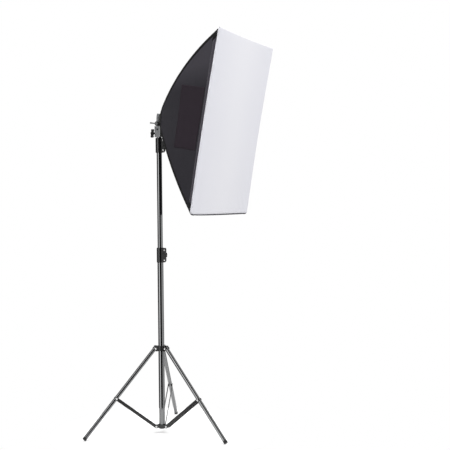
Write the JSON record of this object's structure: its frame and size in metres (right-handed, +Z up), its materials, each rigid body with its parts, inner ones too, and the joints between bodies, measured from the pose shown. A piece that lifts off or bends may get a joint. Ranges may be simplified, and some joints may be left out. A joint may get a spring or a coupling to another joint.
{
  "type": "studio softbox on light stand",
  "caption": "Rectangular fabric softbox with a white front cloth, on a tilting bracket and a telescopic stand with a folding tripod base.",
  "frame": {"origin": "on the column's axis at floor level, midway between the feet", "axes": "+Z up the column, the softbox faces -Y and tilts down, +X to the right seen from the front"},
  "size_m": [0.579, 0.6337, 1.5955],
  "materials": {
    "black_tube": "glossy",
    "black_strip": "satin",
    "black_plastic": "satin",
    "knob_plastic": "glossy",
    "foot_plastic": "matte",
    "bush_plastic": "satin",
    "bright_rivet": "polished",
    "bright_steel": "brushed",
    "grey_casting": "bead blasted",
    "grey_lever": "satin",
    "holder_plastic": "matte",
    "hub_plastic": "matte",
    "porcelain": "glazed",
    "brass": "satin",
    "sprung_steel": "drawn wire",
    "tip_plastic": "matte",
    "shell_fabric": "coated nylon",
    "hem_fabric": "woven",
    "white_cloth": "translucent nylon",
    "cap_metal": "nickel",
    "housing_plastic": "satin",
    "frosted_glass": "frosted"
  },
  "bodies": {
    "stand_base": {"column_lower_tube": "black_tube", "column_foot_plug": "black_plastic", "base_spider": "black_plastic", "lock_collar_lower": "black_plastic", "rivets_lower": "bright_rivet"},
    "lower_knob": {"lock_knob_lower": "knob_plastic"},
    "mid_column": {"column_mid_tube": "black_tube", "mid_tube_bush": "bush_plastic", "lock_collar_upper": "black_plastic", "rivets_upper": "bright_rivet"},
    "upper_knob": {"lock_knob_upper": "knob_plastic"},
    "top_column": {"column_top_tube": "black_tube", "top_tube_bush": "bush_plastic", "stand_spigot": "bright_steel"},
    "leg_carriage": {"leg_collar": "black_plastic", "leg_collar_rivets": "bright_rivet"},
    "leg_knob": {"leg_collar_knob": "knob_plastic"},
    "bracket": {"stand_receiver": "grey_casting", "tilt_bolt": "bright_steel", "tilt_nut": "knob_plastic"},
    "spigot_knob": {"spigot_lock_knob": "knob_plastic"},
    "umbrella_knob": {"umbrella_screw": "knob_plastic"},
    "clamp_lever": {"tilt_lever_hub": "knob_plastic", "tilt_lever": "grey_lever"},
    "head": {"tilt_yoke": "grey_casting", "yoke_screws": "bright_steel", "lamp_holder_cover": "holder_plastic", "lamp_holder_body": "holder_plastic", "cable_gland": "holder_plastic", "socket_insulator": "porcelain", "socket_shell": "brass", "socket_contact": "brass", "rod_hub": "hub_plastic", "rod_top_left": "sprung_steel", "rod_top_right": "sprung_steel", "rod_bottom_left": "sprung_steel", "rod_bottom_right": "sprung_steel", "rod_tips": "tip_plastic", "shell_left": "shell_fabric", "shell_right": "shell_fabric", "shell_top": "shell_fabric", "shell_bottom": "shell_fabric", "front_hem": "hem_fabric", "rear_binding": "hem_fabric"},
    "bulb": {"bulb_cap": "cap_metal", "bulb_housing": "housing_plastic", "bulb_globe": "frosted_glass"},
    "front_cloth": {"diffuser": "white_cloth"},
    "front_leg": {"leg_front": "black_tube", "foot_front": "foot_plastic"},
    "front_strut": {"strut_front": "black_strip", "strut_rivet_front": "bright_rivet"},
    "rear_left_leg": {"leg_rear_left": "black_tube", "foot_rear_left": "foot_plastic"},
    "rear_left_strut": {"strut_rear_left": "black_strip", "strut_rivet_rear_left": "bright_rivet"},
    "right_leg": {"leg_right": "black_tube", "foot_right": "foot_plastic"},
    "right_strut": {"strut_right": "black_strip", "strut_rivet_right": "bright_rivet"}
  },
  "joints": [
    {"name": "mid_tube_slide", "type": "slide", "parent": "stand_base", "child": "mid_column", "axis": [0, 0, 1], "range_m": [-0.385, 0.09]},
    {"name": "top_tube_slide", "type": "slide", "parent": "mid_column", "child": "top_column", "axis": [0, 0, 1], "range_m": [0, 0.5]},
    {"name": "leg_collar_slide", "type": "slide", "parent": "stand_base", "child": "leg_carriage", "axis": [0, 0, 1], "range_m": [0, 0.144]},
    {"name": "front_leg_hinge", "type": "hinge", "parent": "leg_carriage", "child": "front_leg", "pos_m": [-0.00537, -0.02789, 0.3518], "axis": [0.982, -0.1891, 0], "range_deg": [0, 37.22]},
    {"name": "front_strut_hinge", "type": "hinge", "parent": "stand_base", "child": "front_strut", "pos_m": [-0.00537, -0.02789, 0.0277], "axis": [-0.982, 0.1891, 0], "range_deg": [0, 47.28]},
    {"name": "rear_left_leg_hinge", "type": "hinge", "parent": "leg_carriage", "child": "rear_left_leg", "pos_m": [-0.02147, 0.0186, 0.3518], "axis": [-0.6547, -0.7559, 0], "range_deg": [0, 37.22]},
    {"name": "rear_left_strut_hinge", "type": "hinge", "parent": "stand_base", "child": "rear_left_strut", "pos_m": [-0.02147, 0.0186, 0.0277], "axis": [0.6547, 0.7559, 0], "range_deg": [0, 47.28]},
    {"name": "right_leg_hinge", "type": "hinge", "parent": "leg_carriage", "child": "right_leg", "pos_m": [0.02684, 0.00929, 0.3518], "axis": [-0.3272, 0.9449, 0], "range_deg": [0, 37.22]},
    {"name": "right_strut_hinge", "type": "hinge", "parent": "stand_base", "child": "right_strut", "pos_m": [0.02684, 0.00929, 0.0277], "axis": [0.3272, -0.9449, 0], "range_deg": [0, 47.28]},
    {"name": "head_pan", "type": "hinge", "parent": "top_column", "child": "bracket", "pos_m": [0, 0, 1.2375], "axis": [0, 0, 1], "continuous": true},
    {"name": "head_tilt", "type": "hinge", "parent": "bracket", "child": "head", "pos_m": [0, 0, 1.2825], "axis": [1, 0, 0], "range_deg": [-80, 15]},
    {"name": "lower_lock_turn", "type": "hinge", "parent": "stand_base", "child": "lower_knob", "pos_m": [0.012, -0.0195, 0.739], "axis": [1, 0, 0], "range_deg": [0, 360]},
    {"name": "upper_lock_turn", "type": "hinge", "parent": "mid_column", "child": "upper_knob", "pos_m": [0.012, -0.0195, 1.194], "axis": [1, 0, 0], "range_deg": [0, 360]},
    {"name": "leg_lock_turn", "type": "hinge", "parent": "leg_carriage", "child": "leg_knob", "pos_m": [0.0053, 0.02749, 0.3518], "axis": [0.1891, 0.982, 0], "range_deg": [0, 360]},
    {"name": "spigot_lock_turn", "type": "hinge", "parent": "bracket", "child": "spigot_knob", "pos_m": [0, 0.03, 1.245], "axis": [0, 1, 0], "range_deg": [0, 360]},
    {"name": "umbrella_screw_turn", "type": "hinge", "parent": "bracket", "child": "umbrella_knob", "pos_m": [0, -0.018, 1.259], "axis": [0, -1, 0], "range_deg": [0, 360]},
    {"name": "tilt_lever_turn", "type": "hinge", "parent": "bracket", "child": "clamp_lever", "pos_m": [-0.016, 0, 1.2825], "axis": [1, 0, 0], "range_deg": [-60, 90]},
    {"name": "bulb_draw", "type": "slide", "parent": "head", "child": "bulb", "axis": [0, -0.9831, -0.1831], "range_m": [0, 0.15]},
    {"name": "diffuser_peel", "type": "slide", "parent": "head", "child": "front_cloth", "axis": [0, -0.9831, -0.1831], "range_m": [0, 0.3]}
  ],
  "couplings": [
    {"joint": "front_leg_hinge", "follows": "leg_collar_slide", "rad_per_m": 4.5045},
    {"joint": "front_strut_hinge", "follows": "leg_collar_slide", "rad_per_m": 5.7241},
    {"joint": "rear_left_leg_hinge", "follows": "leg_collar_slide", "rad_per_m": 4.5045},
    {"joint": "rear_left_strut_hinge", "follows": "leg_collar_slide", "rad_per_m": 5.7241},
    {"joint": "right_leg_hinge", "follows": "leg_collar_slide", "rad_per_m": 4.5045},
    {"joint": "right_strut_hinge", "follows": "leg_collar_slide", "rad_per_m": 5.7241}
  ]
}
